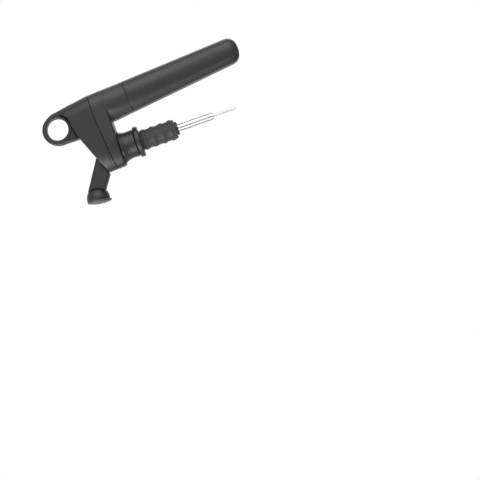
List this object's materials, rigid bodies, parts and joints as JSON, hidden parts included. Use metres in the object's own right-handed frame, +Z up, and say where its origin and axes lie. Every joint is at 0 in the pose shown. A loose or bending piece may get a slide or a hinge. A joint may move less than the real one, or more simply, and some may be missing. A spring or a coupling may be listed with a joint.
{
  "type": "wine preservation dispenser",
  "caption": "Hand-held wine dispenser: a ribbed stopper with a pouring tube, a wedge-shaped valve head with thumb button, hanging ring and shower spout, and a gas capsule in the handle.",
  "frame": {"origin": "centre of the bottle's mouth: the middle of the stopper flange's underside, where it rests on the lip", "axes": "+Z up the stopper's axis and out of the bottle, +X towards the handle, -X towards the spout, +Y across; the part is symmetric about Y = 0"},
  "size_m": [0.106, 0.031, 0.1951],
  "materials": {
    "charcoal_plastic": "fine satin moulding, charcoal grey",
    "dark_plastic": "satin moulding, dark grey",
    "grey_plastic": "satin moulding, mid grey",
    "white_plastic": "natural white moulding",
    "black_rubber": "matt black silicone",
    "stainless_steel": "brushed stainless",
    "brass": "turned, uncoated"
  },
  "bodies": {
    "stopper": {"stopper_core": "charcoal_plastic", "stopper_plug": "black_rubber", "stopper_end_cap": "dark_plastic"},
    "tube_seal": {"tube_seal": "black_rubber"},
    "head": {"rear_frame": "charcoal_plastic", "front_cover": "charcoal_plastic", "neck_collar": "charcoal_plastic", "neck_seal": "black_rubber", "pour_tube": "stainless_steel", "gas_tube": "stainless_steel", "valve_block": "white_plastic", "spool_gland": "brass", "button_spring": "stainless_steel", "spout_nozzle": "white_plastic", "nozzle_seal": "black_rubber", "gas_line": "stainless_steel", "regulator_body": "brass", "regulator_cap": "brass", "regulator_spring": "stainless_steel", "piercing_pin": "stainless_steel", "capsule_gasket": "black_rubber", "threaded_socket": "grey_plastic", "cup_seal": "black_rubber", "cover_screw_1": "stainless_steel", "cover_screw_2": "stainless_steel", "block_screw_1": "stainless_steel", "block_screw_2": "stainless_steel"},
    "button": {"thumb_button": "dark_plastic", "valve_spool": "grey_plastic", "spool_seal_1": "black_rubber", "spool_seal_2": "black_rubber", "spool_seal_3": "black_rubber"},
    "piston": {"regulator_piston": "brass", "piston_seal": "black_rubber"},
    "capsule": {"gas_capsule": "stainless_steel"},
    "capsule_pad": {"capsule_pad": "black_rubber"},
    "cup": {"capsule_cup": "charcoal_plastic"},
    "aerator": {"aerator_housing": "dark_plastic", "shower_plate": "grey_plastic", "flow_diffuser": "white_plastic"}
  },
  "joints": [
    {"name": "device_turn", "type": "hinge", "parent": "stopper", "child": "tube_seal", "pos_m": [0, 0, 0], "axis": [0, 0, 1], "continuous": true},
    {"name": "device_lift", "type": "slide", "parent": "tube_seal", "child": "head", "axis": [0, 0, 1], "range_m": [0, 0.1]},
    {"name": "button_press", "type": "slide", "parent": "head", "child": "button", "axis": [-1, 0, 0], "range_m": [0, 0.003], "stiffness_N_per_m": 1500, "springref_m": -0.002, "deforming": ["button_spring"]},
    {"name": "piston_lift", "type": "slide", "parent": "head", "child": "piston", "axis": [-0.0854, 0, 0.9963], "range_m": [0, 0.001], "stiffness_N_per_m": 8000, "springref_m": -0.001, "deforming": ["regulator_spring"]},
    {"name": "capsule_draw", "type": "slide", "parent": "head", "child": "capsule", "axis": [0.0854, 0, -0.9963], "range_m": [0, 0.1]},
    {"name": "cup_advance", "type": "slide", "parent": "capsule", "child": "capsule_pad", "axis": [0.0854, 0, -0.9963], "range_m": [0, 0.006]},
    {"name": "cup_turn", "type": "hinge", "parent": "capsule_pad", "child": "cup", "pos_m": [0.0433, 0, -0.0015], "axis": [0.0854, 0, -0.9963], "range_deg": [0, 1440]},
    {"name": "aerator_draw", "type": "slide", "parent": "head", "child": "aerator", "axis": [-0.832, 0, 0.5548], "range_m": [0, 0.02]}
  ],
  "couplings": [
    {"joint": "cup_advance", "follows": "cup_turn", "m_per_rad": 0.0002387}
  ]
}
